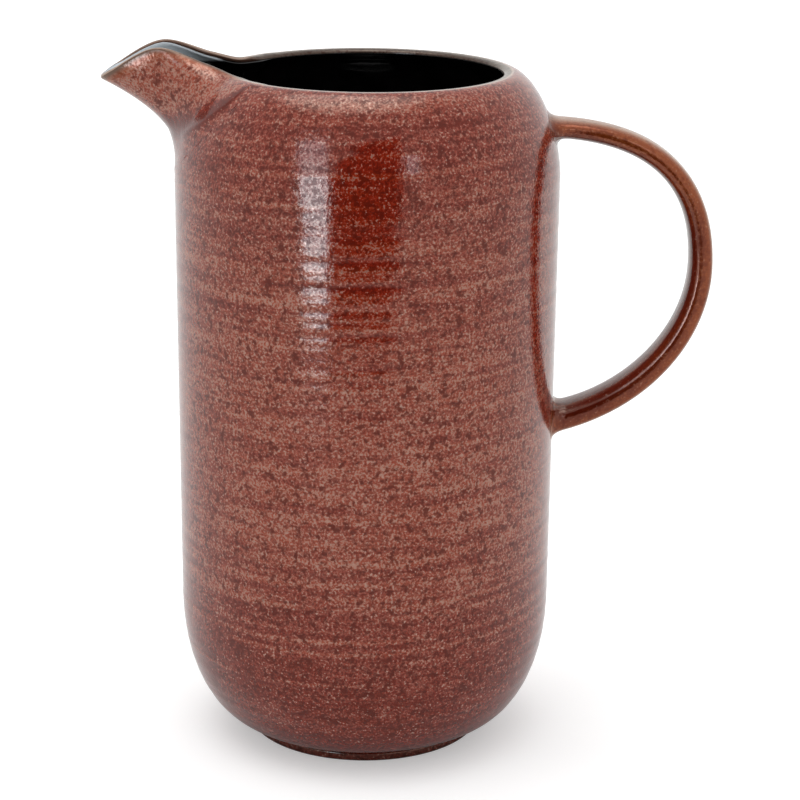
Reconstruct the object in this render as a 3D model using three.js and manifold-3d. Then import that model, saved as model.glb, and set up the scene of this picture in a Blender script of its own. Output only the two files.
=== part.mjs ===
// Glazed jug: a thrown body on a foot ring, a beak spout luted over a notch in the rim and shoulder,
// a strap handle luted on at both ends, and a glaze poured over the inside.
// Millimetres, +Z up. The origin is on the body's axis, in the plane that the foot stands on.
// The spout points along -X and the handle along +X, so the XZ plane halves the jug.

import * as THREE from 'three';
import { mergeVertices } from 'three/addons/utils/BufferGeometryUtils.js';
import Module from 'manifold-3d';

// Body: a nearly straight wall between a rounded base and a rounded shoulder.
// The shoulder starts a drop below the rim and runs in to it. The belly is narrower by the wall's taper.
const RIM_HEIGHT = 225;
const RIM_THICKNESS = 3;
const RIM_ROUNDING = 2.5;
const SHOULDER_RADIUS = 62.6;
const SHOULDER_DROP = 34;
const SHOULDER_RUN = 16.1;
const BELLY_HEIGHT = 48.5;
const BELLY_TAPER = 0.7;
const WALL = 4.8;
const FLOOR = 7;
const SHOULDER_HEIGHT = RIM_HEIGHT - SHOULDER_DROP;
const RIM_RADIUS = SHOULDER_RADIUS - SHOULDER_RUN;
const BELLY_RADIUS = SHOULDER_RADIUS - BELLY_TAPER;

// Fullness of the rounded stretches: 1 is a straight slope, 2 an ellipse, more is squarer
const SHOULDER_POWER = 1.7;
const BASE_POWER = 2.1;

// Foot ring, set in from the belly, with a groove where it meets the base
const FOOT_HEIGHT = 4;
const FOOT_INSET = 22.6;
const FOOT_WIDTH = 6;
const FOOT_GROOVE = 1.5;
const FOOT_EDGE = 0.8;
const FOOT_RADIUS = BELLY_RADIUS - FOOT_INSET;

// Spout lip: at each place its reach beyond the rim, its rise above it and the width across it.
// It ends in the tip, and at the last of these places it leaves the rim's circle, inside the rim's own reach.
const TIP_REACH = 39.1;
const TIP_RISE = -4.6;
const NOSE_REACH = 35.5;
const NOSE_RISE = -1.9;
const NOSE_WIDTH = 13;
const CREST_REACH = 20.5;
const CREST_RISE = 6.3;
const CREST_WIDTH = 20.5;
const THROAT_REACH = 4.5;
const THROAT_RISE = 2.7;
const THROAT_WIDTH = 27;
const LEAVE_REACH = -3;
const LEAVE_RISE = 1;
const LEAVE_WIDTH = 35.6;

// Spout wall and the tilted plane in which it meets the body
const SEAM_TILT = 45;
const SEAM_DROP = 27;
const SEAM_ROOT_DROP = 1;
const SEAM_EDGE = 1.2;
const LIP_ROOT_RISE = 1;
const ROOT_FADE = 3;
const NOTCH_RUN_OUT = 9;
const NOTCH_POWER = 4;
const KEEL_FLARE = 10.5;
const FLANK_BULGE = 7;
const SPOUT_WALL = 3.4;
const LIP_THICKNESS = 1.8;

// Handle: its centre line, placed by how far it stands off the wall and lies below the rim,
// then its section, which is widest at the roots and thickest at the lower one
const HANDLE_STANDOFF = 46.8;
const HANDLE_TOP_DROP = 18.7;
const HANDLE_MIDDLE_DROP = 63.5;
const HANDLE_BOTTOM_DROP = 117.1;
const HANDLE_BOTTOM_RISE = 4.4;
const TOP_RUN = 38;
const BOTTOM_RUN = 29;
const UPPER_BEND = 27.5;
const LOWER_BEND = 25.8;
const HANDLE_WIDTH = 15;
const ROOT_WIDTH = 19;
const ROOT_FLARE_LENGTH = 22;
const UPPER_THICKNESS = 6;
const MIDDLE_THICKNESS = 7.8;
const LOWER_THICKNESS = 9;
const OUTER_FACE_POWER = 3;
const INNER_FACE_POWER = 2;
const HANDLE_REACH = SHOULDER_RADIUS + HANDLE_STANDOFF;
const HANDLE_TOP = RIM_HEIGHT - HANDLE_TOP_DROP;
const HANDLE_MIDDLE = RIM_HEIGHT - HANDLE_MIDDLE_DROP;
const HANDLE_BOTTOM = RIM_HEIGHT - HANDLE_BOTTOM_DROP;

// Luting collars round the handle's roots, the inner glaze, and the clearance between pieces
const COLLAR_SPREAD = 2.8;
const COLLAR_HEIGHT = 4.5;
const COLLAR_EDGE = 0.25;
const GLAZE = 0.7;
const GAP = 0.3;

// How finely the round forms are cut into faces
const TURN_STEPS = 48;
const CURVE_STEPS = 8;
const LIP_STEPS = 4;
const SPOUT_STATIONS = 32;
const FLANK_STEPS = 6;
const HANDLE_STATIONS = 30;
const SECTION_STEPS = 16;
const COLLAR_STEPS = 6;

// How far a cutting solid runs past what it cuts
const OVERRUN = 30;
const EMBED = 4;
const MERGE_DISTANCE = 1e-4;

// Brings the highest value of t * t * (1 - t), between 0 and 1, to 1
const BULGE_SCALE = 27 / 4;

const wasm = await Module();
wasm.setup();

// Six times the volume inside a closed skin, negative if its faces point inwards
function signedVolume(positions, triangles) {
  const corner = (k) => new THREE.Vector3().fromArray(positions, 3 * k);
  let sum = 0;
  for (let i = 0; i < triangles.length; i += 3) {
    const [a, b, c] = [0, 1, 2].map((k) => corner(triangles[i + k]));
    sum += a.dot(b.cross(c));
  }
  return sum;
}

// A closed geometry as a solid, with its faces turned to point out
function toSolid(geometry) {
  geometry.deleteAttribute('normal');
  geometry.deleteAttribute('uv');
  const merged = mergeVertices(geometry, MERGE_DISTANCE);
  const vertProperties = merged.attributes.position.array;
  const index = merged.index.array;
  const triangles = [];
  for (let i = 0; i < index.length; i += 3) {
    const corners = [index[i], index[i + 1], index[i + 2]];
    if (new Set(corners).size === 3) triangles.push(...corners);
  }
  if (signedVolume(vertProperties, triangles) < 0) triangles.reverse();
  const triVerts = new Uint32Array(triangles);
  return new wasm.Manifold(new wasm.Mesh({ numProp: 3, vertProperties, triVerts }));
}

// A solid as a named mesh in its own glaze
function toMesh(name, solid, glaze) {
  const { vertProperties, triVerts } = solid.getMesh();
  const geometry = new THREE.BufferGeometry();
  geometry.setAttribute('position', new THREE.BufferAttribute(vertProperties, 3));
  geometry.setIndex(new THREE.BufferAttribute(triVerts, 1));
  geometry.computeVertexNormals();
  const mesh = new THREE.Mesh(geometry, glaze);
  mesh.name = name;
  return mesh;
}

// A profile of (radius, height) points turned about the Z axis
function turned(profile) {
  return toSolid(new THREE.LatheGeometry(profile, TURN_STEPS).rotateX(Math.PI / 2));
}

// A skin over loops of points that follow one another, each with the same even count of points.
// Each end is closed by rungs between the points that lie opposite each other in its loop.
function lofted(loops) {
  const count = loops[0].length;
  const index = [];
  for (let i = 0; i + 1 < loops.length; i += 1) {
    for (let j = 0; j < count; j += 1) {
      const a = i * count + j;
      const b = i * count + ((j + 1) % count);
      index.push(a, b, a + count, b, b + count, a + count);
    }
  }
  const last = (loops.length - 1) * count;
  for (let j = 0; j < count / 2 - 1; j += 1) {
    const opposite = count - 1 - j;
    index.push(j, opposite, j + 1, j + 1, opposite, opposite - 1);
    index.push(last + j, last + j + 1, last + opposite);
    index.push(last + j + 1, last + opposite - 1, last + opposite);
  }
  const geometry = new THREE.BufferGeometry().setFromPoints(loops.flat());
  geometry.setIndex(index);
  return toSolid(geometry);
}

// A quarter of a superellipse from (r0, z0), where it runs upright, to (r1, z1), where it runs level
function quarterCurve(r0, z0, r1, z1, power, steps) {
  return Array.from({ length: steps + 1 }, (_, i) => {
    const angle = (i / steps) * (Math.PI / 2);
    const across = Math.cos(angle) ** (2 / power);
    const along = Math.sin(angle) ** (2 / power);
    return new THREE.Vector2(r1 + (r0 - r1) * across, z0 + (z1 - z0) * along);
  });
}

// Outside of the body from the foot ring's seat up to the rim, moved out by a clearance
function outerProfile(clearance) {
  const seatRadius = FOOT_RADIUS - FOOT_GROOVE + clearance;
  const belly = BELLY_RADIUS + clearance;
  const shoulder = SHOULDER_RADIUS + clearance;
  const rim = RIM_RADIUS + clearance;
  const seat = FOOT_HEIGHT - clearance;
  const top = RIM_HEIGHT + clearance;
  return [
    ...quarterCurve(belly, BELLY_HEIGHT, seatRadius, seat, BASE_POWER, CURVE_STEPS).reverse(),
    ...quarterCurve(shoulder, SHOULDER_HEIGHT, rim, top, SHOULDER_POWER, CURVE_STEPS),
  ];
}

// Inside of the body from the rim's inner edge down to the middle of the floor, moved in by a clearance
function innerProfile(clearance) {
  const belly = BELLY_RADIUS - WALL - clearance;
  const shoulder = SHOULDER_RADIUS - WALL - clearance;
  const mouth = RIM_RADIUS - RIM_THICKNESS - clearance;
  const top = RIM_HEIGHT - RIM_ROUNDING - clearance;
  const floor = FOOT_HEIGHT + FLOOR + clearance;
  const floorRadius = FOOT_RADIUS - FOOT_GROOVE - WALL - clearance;
  return [
    ...quarterCurve(shoulder, SHOULDER_HEIGHT, mouth, top, SHOULDER_POWER, CURVE_STEPS).reverse(),
    ...quarterCurve(belly, BELLY_HEIGHT, floorRadius, floor, BASE_POWER, CURVE_STEPS),
    new THREE.Vector2(0, floor),
  ];
}

// Radius of the body's outside at a height between the belly and the rim
function bodyRadius(height) {
  if (height < SHOULDER_HEIGHT) {
    const share = (height - BELLY_HEIGHT) / (SHOULDER_HEIGHT - BELLY_HEIGHT);
    return THREE.MathUtils.lerp(BELLY_RADIUS, SHOULDER_RADIUS, share);
  }
  const rise = (height - SHOULDER_HEIGHT) / (RIM_HEIGHT - SHOULDER_HEIGHT);
  const across = (1 - rise ** SHOULDER_POWER) ** (1 / SHOULDER_POWER);
  return THREE.MathUtils.lerp(RIM_RADIUS, SHOULDER_RADIUS, across);
}

// The body's outside as a filled solid, which trims whatever is luted on to it
function bodyEnvelope() {
  const outside = outerProfile(GAP);
  const underside = new THREE.Vector2(0, outside[0].y);
  const top = new THREE.Vector2(0, RIM_HEIGHT + GAP);
  return turned([underside, ...outside, top]);
}

// The thrown pot before the notch is cut: outside, rounded rim, inside and floor in one profile
function thrownPot() {
  const mouth = RIM_RADIUS - RIM_THICKNESS;
  const innerEdge = RIM_HEIGHT - RIM_ROUNDING;
  const rim = quarterCurve(mouth, innerEdge, RIM_RADIUS, RIM_HEIGHT, 2, LIP_STEPS).reverse();
  const underside = new THREE.Vector2(0, FOOT_HEIGHT);
  return turned([underside, ...outerProfile(0), ...rim.slice(1), ...innerProfile(0).slice(1)]);
}

// The poured glaze, a thin layer over the whole inside
function glazeLining() {
  const back = innerProfile(GAP).reverse();
  const face = innerProfile(GAP + GLAZE);
  return turned([...back, ...face]);
}

// The foot ring, with its edges broken and a flat face above and below
function footRing() {
  const inner = FOOT_RADIUS - FOOT_WIDTH;
  return turned([
    new THREE.Vector2(inner, 0),
    new THREE.Vector2(FOOT_RADIUS - FOOT_EDGE, 0),
    new THREE.Vector2(FOOT_RADIUS, FOOT_EDGE),
    new THREE.Vector2(FOOT_RADIUS, FOOT_HEIGHT - FOOT_GROOVE),
    new THREE.Vector2(FOOT_RADIUS - FOOT_GROOVE, FOOT_HEIGHT),
    new THREE.Vector2(inner, FOOT_HEIGHT),
    new THREE.Vector2(inner, 0),
  ]);
}

// A smooth curve through points of one side of the spout and their mirror images, front to back.
// The points run from the root to the middle, and the last one lies in the XZ plane.
function mirroredCurve(side) {
  const mirrored = side.slice(0, -1).reverse().map((p) => new THREE.Vector3(p.x, -p.y, p.z));
  return new THREE.CatmullRomCurve3([...side, ...mirrored]);
}

// The seam, where the tilted plane cuts the body's outside, proud of it by the thickness of the luted edge
function seamCurve() {
  const apexHeight = RIM_HEIGHT - SEAM_DROP;
  const rootHeight = RIM_HEIGHT - SEAM_ROOT_DROP;
  const slope = Math.tan(THREE.MathUtils.degToRad(SEAM_TILT));
  const side = Array.from({ length: CURVE_STEPS + 1 }, (_, i) => {
    const toRoot = 1 - i / CURVE_STEPS;
    const height = THREE.MathUtils.lerp(apexHeight, rootHeight, toRoot ** 2);
    const radius = bodyRadius(height) + SEAM_EDGE;
    const reach = bodyRadius(apexHeight) + SEAM_EDGE - (height - apexHeight) / slope;
    return new THREE.Vector3(-reach, -Math.sqrt(Math.max(radius ** 2 - reach ** 2, 0)), height);
  });
  return mirroredCurve(side);
}

// The lip's outer edge, from the rim at one side round the tip to the rim at the other
function lipCurve() {
  const onRim = seamCurve().getPoint(0).setZ(0).setLength(RIM_RADIUS);
  const place = (reach, rise, width) => (
    new THREE.Vector3(-RIM_RADIUS - reach, -width / 2, RIM_HEIGHT + rise)
  );
  return mirroredCurve([
    onRim.setZ(RIM_HEIGHT + LIP_ROOT_RISE),
    place(LEAVE_REACH, LEAVE_RISE, LEAVE_WIDTH),
    place(THROAT_REACH, THROAT_RISE, THROAT_WIDTH),
    place(CREST_REACH, CREST_RISE, CREST_WIDTH),
    place(NOSE_REACH, NOSE_RISE, NOSE_WIDTH),
    place(TIP_REACH, TIP_RISE, 0),
  ]);
}

// Outer surface of the spout: at each station a curve that sweeps from the seam out to the lip.
// It is hollow at the keel, and near the roots it swells so that the flank rises clear of the shoulder.
function spoutStations() {
  const seam = seamCurve();
  const lip = lipCurve();
  return Array.from({ length: SPOUT_STATIONS }, (_, i) => {
    const share = i / (SPOUT_STATIONS - 1);
    const foot = seam.getPointAt(share);
    const edge = lip.getPointAt(share);
    const toRoot = Math.abs(2 * share - 1);
    const outwards = new THREE.Vector3(foot.x, foot.y, Math.hypot(foot.x, foot.y)).normalize();
    const swelling = BULGE_SCALE * toRoot ** 2 * (1 - toRoot);
    const bend = foot.clone().lerp(edge, 0.5).addScaledVector(outwards, FLANK_BULGE * swelling);
    bend.x += KEEL_FLARE * (1 - toRoot ** 2);
    return new THREE.QuadraticBezierCurve3(foot, bend, edge).getPoints(FLANK_STEPS);
  });
}

// Directions into the channel, square to the spout's outer surface at every point of its stations
function inwardNormals(stations) {
  const near = (list, k) => [list[Math.max(k - 1, 0)], list[Math.min(k + 1, list.length - 1)]];
  return stations.map((station, i) => station.map((_, j) => {
    const [before, after] = near(stations, i);
    const [below, above] = near(station, j);
    return after[j].clone().sub(before[j]).cross(above.clone().sub(below)).normalize();
  }));
}

// The spout's surface moved into its wall, by one depth at the seam that changes to another at the lip
function spoutLayer(stations, normals, seamDepth, lipDepth) {
  return stations.map((station, i) => station.map((point, j) => {
    const depth = THREE.MathUtils.lerp(seamDepth, lipDepth, j / FLANK_STEPS);
    return point.clone().addScaledVector(normals[i][j], depth);
  }));
}

// A station carried on along the rim, away from the beak, and sunk into the shoulder
function sunkEnd(station, next) {
  return station.map((point, j) => {
    const onwards = point.clone().sub(next[j]).setLength(ROOT_FADE);
    const inwards = new THREE.Vector3(-point.x, -point.y, -Math.hypot(point.x, point.y)).setLength(ROOT_FADE);
    return point.clone().add(onwards).add(inwards);
  });
}

// A layer with one station more at each root, where the beak's wall runs out into the rim
function withSunkEnds(layer) {
  const last = layer.length - 1;
  return [sunkEnd(layer[0], layer[1]), ...layer, sunkEnd(layer[last], layer[last - 1])];
}

// A station carried on into the body's wall, so that trimming leaves it seated all along the seam
function embedded(station) {
  const foot = station[0];
  const outwards = new THREE.Vector3(foot.x, foot.y, 0).normalize();
  return [foot.clone().addScaledVector(outwards, -EMBED), ...station];
}

// A half circle over the top of the wall, from its outer edge to its inner one
function lipRound(outer, inner) {
  const edge = outer[FLANK_STEPS];
  const middle = edge.clone().lerp(inner[FLANK_STEPS], 0.5);
  const across = edge.clone().sub(middle);
  const up = edge.clone().sub(outer[FLANK_STEPS - 1]).setLength(across.length());
  return Array.from({ length: LIP_STEPS }, (_, k) => {
    const angle = ((k + 1) / (LIP_STEPS + 1)) * Math.PI;
    const round = across.clone().multiplyScalar(Math.cos(angle)).addScaledVector(up, Math.sin(angle));
    return round.add(middle);
  });
}

// The beak's wall: thick at the seam, thin and rounded at the lip
function spoutWall(outer, inner) {
  return lofted(outer.map((station, i) => [
    ...embedded(station),
    ...lipRound(station, inner[i]),
    ...embedded(inner[i]).reverse(),
  ]));
}

// The glaze inside the beak, a layer between two depths.
// Its loops run as the wall's do, so that its back is split into the same faces as the wall's inside.
function spoutLining(back, face) {
  return lofted(back.map((station, i) => [...embedded(face[i]), ...embedded(station).reverse()]));
}

// The side of the notch: the beak's inside, raised towards the roots until it clears the rim
function notchSide(inside, normals) {
  return inside.map((station, i) => {
    const toRoot = Math.abs((2 * i) / (inside.length - 1) - 1);
    const rise = NOTCH_RUN_OUT * toRoot ** NOTCH_POWER;
    return station.map((point, j) => point.clone().addScaledVector(normals[i][j], -rise));
  });
}

// A point moved towards the axis and up
function inwardsAndUp(point, inwards, up) {
  const closer = 1 - inwards / Math.hypot(point.x, point.y);
  return new THREE.Vector3(point.x * closer, point.y * closer, point.z + up);
}

// What is open inside the beak, carried on through the body's wall and up above the rim
function pourChannel(side) {
  const rows = Array.from({ length: FLANK_STEPS + 1 }, (_, j) => side.map((station) => station[j]));
  const throughWall = rows[0].map((point) => inwardsAndUp(point, OVERRUN, 0));
  const aboveLip = rows[FLANK_STEPS].map((point) => inwardsAndUp(point, OVERRUN, OVERRUN));
  return lofted([throughWall, ...rows, aboveLip]);
}

// The handle's centre line in the XZ plane, from inside the wall at the top to inside the wall at the bottom
function handlePath() {
  const at = (x, z) => new THREE.Vector3(x, 0, z);
  const upper = bodyRadius(HANDLE_TOP) - EMBED;
  const lower = bodyRadius(HANDLE_BOTTOM) - EMBED;
  const path = new THREE.CurvePath();
  path.add(new THREE.CubicBezierCurve3(
    at(upper, HANDLE_TOP),
    at(upper + TOP_RUN, HANDLE_TOP),
    at(HANDLE_REACH, HANDLE_MIDDLE + UPPER_BEND),
    at(HANDLE_REACH, HANDLE_MIDDLE),
  ));
  path.add(new THREE.CubicBezierCurve3(
    at(HANDLE_REACH, HANDLE_MIDDLE),
    at(HANDLE_REACH, HANDLE_MIDDLE - LOWER_BEND),
    at(lower + BOTTOM_RUN, HANDLE_BOTTOM + HANDLE_BOTTOM_RISE),
    at(lower, HANDLE_BOTTOM),
  ));
  return path;
}

// The handle's section at a share of its length, grown on every side: flatter outside than inside
function handleSection(path, share, grown) {
  const centre = path.getPointAt(share);
  const along = path.getTangentAt(share);
  const outwards = new THREE.Vector3(0, 1, 0).cross(along);
  const toRoot = Math.min(share, 1 - share) * path.getLength();
  const flare = Math.max(1 - toRoot / ROOT_FLARE_LENGTH, 0) ** 2;
  const width = THREE.MathUtils.lerp(HANDLE_WIDTH, ROOT_WIDTH, flare) + 2 * grown;
  const end = share < 0.5 ? UPPER_THICKNESS : LOWER_THICKNESS;
  const thickness = THREE.MathUtils.lerp(MIDDLE_THICKNESS, end, Math.abs(2 * share - 1)) + 2 * grown;
  return Array.from({ length: SECTION_STEPS }, (_, k) => {
    const angle = ((k + 0.5) / SECTION_STEPS) * 2 * Math.PI;
    const power = Math.sin(angle) > 0 ? OUTER_FACE_POWER : INNER_FACE_POWER;
    const round = (value) => Math.sign(value) * Math.abs(value) ** (2 / power);
    return centre.clone()
      .addScaledVector(outwards, (thickness / 2) * round(Math.sin(angle)))
      .add(new THREE.Vector3(0, (width / 2) * round(Math.cos(angle)), 0));
  });
}

// The strap before its ends are trimmed to the body, grown on every side
function handleStrap(path, grown) {
  const shares = Array.from({ length: HANDLE_STATIONS + 1 }, (_, i) => i / HANDLE_STATIONS);
  return lofted(shares.map((share) => handleSection(path, share, grown)));
}

// A collar that widens towards the wall in a hollow round, before it is cut to the strap and the body.
// It stops where it is down to its edge thickness.
function rootCollar(path, atUpperRoot) {
  const edge = 1 - (COLLAR_EDGE + GAP) / COLLAR_SPREAD;
  const cutOff = 1 - Math.sqrt(1 - edge ** 2);
  const section = (depth, spread) => {
    const share = depth / path.getLength();
    return handleSection(path, atUpperRoot ? share : 1 - share, spread);
  };
  const loops = Array.from({ length: COLLAR_STEPS + 1 }, (_, i) => {
    const rise = (i / COLLAR_STEPS) * cutOff;
    const spread = 1 - Math.sqrt(1 - (1 - rise) ** 2);
    return section(EMBED + COLLAR_HEIGHT * rise, COLLAR_SPREAD * spread);
  });
  return lofted([section(EMBED / 2, COLLAR_SPREAD), ...loops]);
}

function glaze(colour, roughness) {
  return new THREE.MeshStandardMaterial({ color: colour, roughness, metalness: 0 });
}

const stations = spoutStations();
const normals = inwardNormals(stations);
const spoutInside = spoutLayer(stations, normals, SPOUT_WALL, LIP_THICKNESS);
const liningBack = spoutLayer(stations, normals, SPOUT_WALL + GAP, LIP_THICKNESS + GAP);
const liningFace = spoutLayer(stations, normals, SPOUT_WALL + GAP + GLAZE, LIP_THICKNESS + GAP + GLAZE);
const channel = pourChannel(notchSide(spoutInside, normals));
const beak = spoutWall(withSunkEnds(stations), withSunkEnds(spoutInside));
const envelope = bodyEnvelope();

const path = handlePath();
const strap = handleStrap(path, 0);
const strapClearance = handleStrap(path, GAP);
const collar = (atUpperRoot) => rootCollar(path, atUpperRoot).subtract(strapClearance).subtract(envelope);

const jug = new THREE.Group();
jug.name = 'jug';
jug.add(
  toMesh('body', thrownPot().subtract(channel), glaze('#7d3c31', 0.18)),
  toMesh('foot_ring', footRing(), glaze('#431a15', 0.35)),
  toMesh('spout', beak.subtract(envelope), glaze('#83423a', 0.18)),
  toMesh('handle', strap.subtract(envelope), glaze('#8d4527', 0.15)),
  toMesh('upper_handle_joint', collar(true), glaze('#7a3a2c', 0.2)),
  toMesh('lower_handle_joint', collar(false), glaze('#7a3a2c', 0.2)),
  toMesh('liner_glaze', glazeLining().subtract(channel), glaze('#0d0b0d', 0.1)),
  toMesh('spout_glaze', spoutLining(liningBack, liningFace).subtract(envelope), glaze('#0d0b0d', 0.1)),
);

export default jug;
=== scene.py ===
# %% [markdown]
# # A glazed jug with a beak spout and a strap handle
# The jug was thrown on a wheel, so most of it is a profile turned round an axis, with the spiral that the
# potter's fingers left in the wall. A beak spout and a pulled handle were then luted on, that is, stuck on
# with wet clay. Two glazes finish it: a speckled red one outside and a black one poured inside. Every
# length below is in millimetres, and the meshes are scaled to metres where they are made. The jug stands
# on the plane z = 0 with its axis on z, the spout towards -x and the handle towards +x.

# %% Frame
import math

import bmesh
import bpy
import numpy as np
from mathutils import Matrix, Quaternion, Vector


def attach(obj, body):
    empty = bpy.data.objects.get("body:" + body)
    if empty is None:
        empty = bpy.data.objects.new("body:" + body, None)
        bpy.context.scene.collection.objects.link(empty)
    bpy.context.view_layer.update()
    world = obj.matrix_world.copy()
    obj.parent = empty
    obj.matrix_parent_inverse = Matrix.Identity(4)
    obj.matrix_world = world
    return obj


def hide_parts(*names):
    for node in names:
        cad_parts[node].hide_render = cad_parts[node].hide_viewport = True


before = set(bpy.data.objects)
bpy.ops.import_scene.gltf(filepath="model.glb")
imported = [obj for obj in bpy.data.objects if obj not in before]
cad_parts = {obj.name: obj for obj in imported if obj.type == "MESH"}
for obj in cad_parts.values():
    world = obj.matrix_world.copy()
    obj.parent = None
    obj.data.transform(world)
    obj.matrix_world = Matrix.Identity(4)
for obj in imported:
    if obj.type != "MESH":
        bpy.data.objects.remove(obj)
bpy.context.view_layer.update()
scene = bpy.context.scene
MM = 0.001


# %% [markdown]
# ## Making a mesh from a grid
# Everything on the jug is either turned or swept, so every piece can be a grid of points: rows along the
# profile or the path, and columns round it. One function turns a grid into a smooth mesh. Modelling by
# grids keeps each point where a formula put it, so the fine relief in the wall needs no sculpting.

# %% Meshes
def unit(vectors):
    return vectors / np.linalg.norm(vectors, axis=-1, keepdims=True)


def skin(name, grid, close_rows=False, close_columns=True, cap_rows=False, cap_columns=False):
    """A smooth mesh over a grid of points in millimetres, joined up or capped at its ends."""
    grid = np.asarray(grid, float)
    index = np.arange(grid.shape[0] * grid.shape[1]).reshape(grid.shape[:2])
    caps = []
    if cap_rows:
        caps += [index[0].tolist(), index[-1].tolist()]
    if cap_columns:
        caps += [index[:, 0].tolist(), index[:, -1].tolist()]
    if close_columns:
        index = np.hstack([index, index[:, :1]])
    if close_rows:
        index = np.vstack([index, index[:1]])
    corners = [index[:-1, :-1], index[:-1, 1:], index[1:, 1:], index[1:, :-1]]
    faces = np.stack(corners, axis=-1).reshape(-1, 4).tolist() + caps
    mesh = bpy.data.meshes.new(name)
    mesh.from_pydata((grid.reshape(-1, 3) * MM).tolist(), [], faces)
    working = bmesh.new()
    working.from_mesh(mesh)
    bmesh.ops.recalc_face_normals(working, faces=working.faces)
    working.to_mesh(mesh)
    working.free()
    mesh.shade_smooth()
    piece = bpy.data.objects.new(name, mesh)
    scene.collection.objects.link(piece)
    return piece


# %% [markdown]
# A glaze is thick in one place and thin in another, and the shape decides where. So each piece carries a
# few numbers on its points, such as how deep the glaze pools there, with painted shade added to that in
# places, and its material reads them.

# %% Pieces
def record_on(piece, name, values):
    """Keeps one number for each point of a piece, for its material to read."""
    attribute = piece.data.attributes.new(name, "FLOAT", "POINT")
    attribute.data.foreach_set("value", np.asarray(values, np.float32).ravel())


def place(piece, node, material):
    """Puts a finished piece in the place of a CAD node."""
    piece.data.materials.append(material)
    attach(piece, "root")
    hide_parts(node)
    size = [round(v / MM, 1) for v in piece.dimensions]
    print(piece.name, "stands for", node, "size in mm:", size, "points:", len(piece.data.vertices))


# %% [markdown]
# ## Curves
# A quarter of a superellipse draws the rounded base and shoulder: the power 2 gives an ellipse, less is
# more pointed and more is squarer. A quadratic bend fills a corner, as a finger does with soft clay.

# %% Curves
def quarter_curve(r0, z0, r1, z1, power, steps):
    """Points from (r0, z0), where the curve runs upright, to (r1, z1), where it runs level."""
    angle = np.linspace(0, math.pi / 2, steps)
    across = np.cos(angle).clip(0) ** (2 / power)
    along = np.sin(angle) ** (2 / power)
    return np.stack([r1 + (r0 - r1) * across, z0 + (z1 - z0) * along], axis=-1)


def bent(start, bend, end, t):
    """A quadratic curve from start to end that leaves and arrives towards the bend."""
    return (1 - t) ** 2 * start + 2 * t * (1 - t) * bend + t ** 2 * end


def eased(value, low, high):
    """0 at low, 1 at high and a smooth step between; low may be the larger."""
    part = np.clip((value - low) / (high - low), 0, 1)
    return part * part * (3 - 2 * part)


# %% [markdown]
# The lip of the spout is a smooth line through a few chosen points. A fine line can then be walked by its
# length, which spaces the points of a mesh evenly.

# %% Lines through points
def lengths_along(points):
    steps = np.linalg.norm(np.diff(points, axis=0), axis=1)
    return np.concatenate([[0], np.cumsum(steps)])


def at_length(points, lengths):
    """Points of a fine line at the given lengths along it."""
    along = lengths_along(points)
    return np.stack([np.interp(lengths, along, points[:, k]) for k in range(points.shape[1])], axis=-1)


def smooth_line(points, steps=40):
    """A fine smooth line through points: a cubic between each two, with the slope of their neighbours."""
    points = np.asarray(points, float)
    knots = np.concatenate([[0], np.cumsum(np.linalg.norm(np.diff(points, axis=0), axis=1) ** 0.5)])
    slopes = np.gradient(points, knots, axis=0)
    pieces = []
    for i in range(len(points) - 1):
        span = knots[i + 1] - knots[i]
        t = np.linspace(0, 1, steps, endpoint=i == len(points) - 2)[:, None]
        pieces.append(
            (1 + 2 * t) * (1 - t) ** 2 * points[i] + t * (1 - t) ** 2 * span * slopes[i]
            + t ** 2 * (3 - 2 * t) * points[i + 1] + t ** 2 * (t - 1) * span * slopes[i + 1]
        )
    return np.concatenate(pieces)


# %% [markdown]
# ## Camera
# The curves of the rim, the rings and the foot fit a camera about 0.8 m away and a little above the jug,
# with a long lens, turned by half a degree.

# %% Camera
CAMERA_AT = Vector((11.3, -798, 348)) * MM
LOOK_AT = Vector((11.3, 0, 113.6)) * MM
LENS = 112.05
ROLL = math.radians(0.584)

camera = bpy.data.objects.new("camera", bpy.data.cameras.new("camera"))
camera.data.lens = LENS
camera.location = CAMERA_AT
camera.rotation_mode = "QUATERNION"
camera.rotation_quaternion = (LOOK_AT - CAMERA_AT).to_track_quat("-Z", "Y") @ Quaternion((0, 0, 1), ROLL)
scene.collection.objects.link(camera)
scene.camera = camera
scene.view_settings.view_transform = "Standard"
print("camera distance in m:", round((LOOK_AT - CAMERA_AT).length, 3))

# %% [markdown]
# ## Node materials
# Colours are written as sRGB hex values and turned to linear light once. One small function adds a node,
# sets what is given by name and links what comes from another node.

# %% Node helper
COLOUR_MIX = {"data_type": "RGBA"}
TIMES = {"operation": "MULTIPLY"}
TIMES_PLUS = {"operation": "MULTIPLY_ADD"}
LARGER = {"operation": "MAXIMUM"}


def linear(hex_colour):
    """The linear light of an sRGB colour, with full alpha."""
    channels = [int(hex_colour[i:i + 2], 16) / 255 for i in (1, 3, 5)]
    return [c / 12.92 if c <= 0.04045 else ((c + 0.055) / 1.055) ** 2.4 for c in channels] + [1]


def add(tree, kind, settings=None, **sockets):
    """A new node: settings are its own properties, sockets are input values or links from other nodes.
    A node stands for its first output, a hex colour for its linear one, and i6 for the seventh input."""
    node = tree.nodes.new("ShaderNode" + kind)
    for name, value in (settings or {}).items():
        setattr(node, name, value)
    for name, value in sockets.items():
        key = int(name[1:]) if name[0] == "i" and name[1:].isdigit() else name.replace("_", " ")
        if isinstance(value, bpy.types.Node):
            value = next(output for output in value.outputs if output.enabled)
        if isinstance(value, bpy.types.NodeSocket):
            tree.links.new(value, node.inputs[key])
        else:
            node.inputs[key].default_value = linear(value) if isinstance(value, str) else value
    return node


def new_material(name):
    material = bpy.data.materials.new(name)
    material.use_nodes = True
    material.node_tree.nodes.clear()
    return material, material.node_tree


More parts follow.
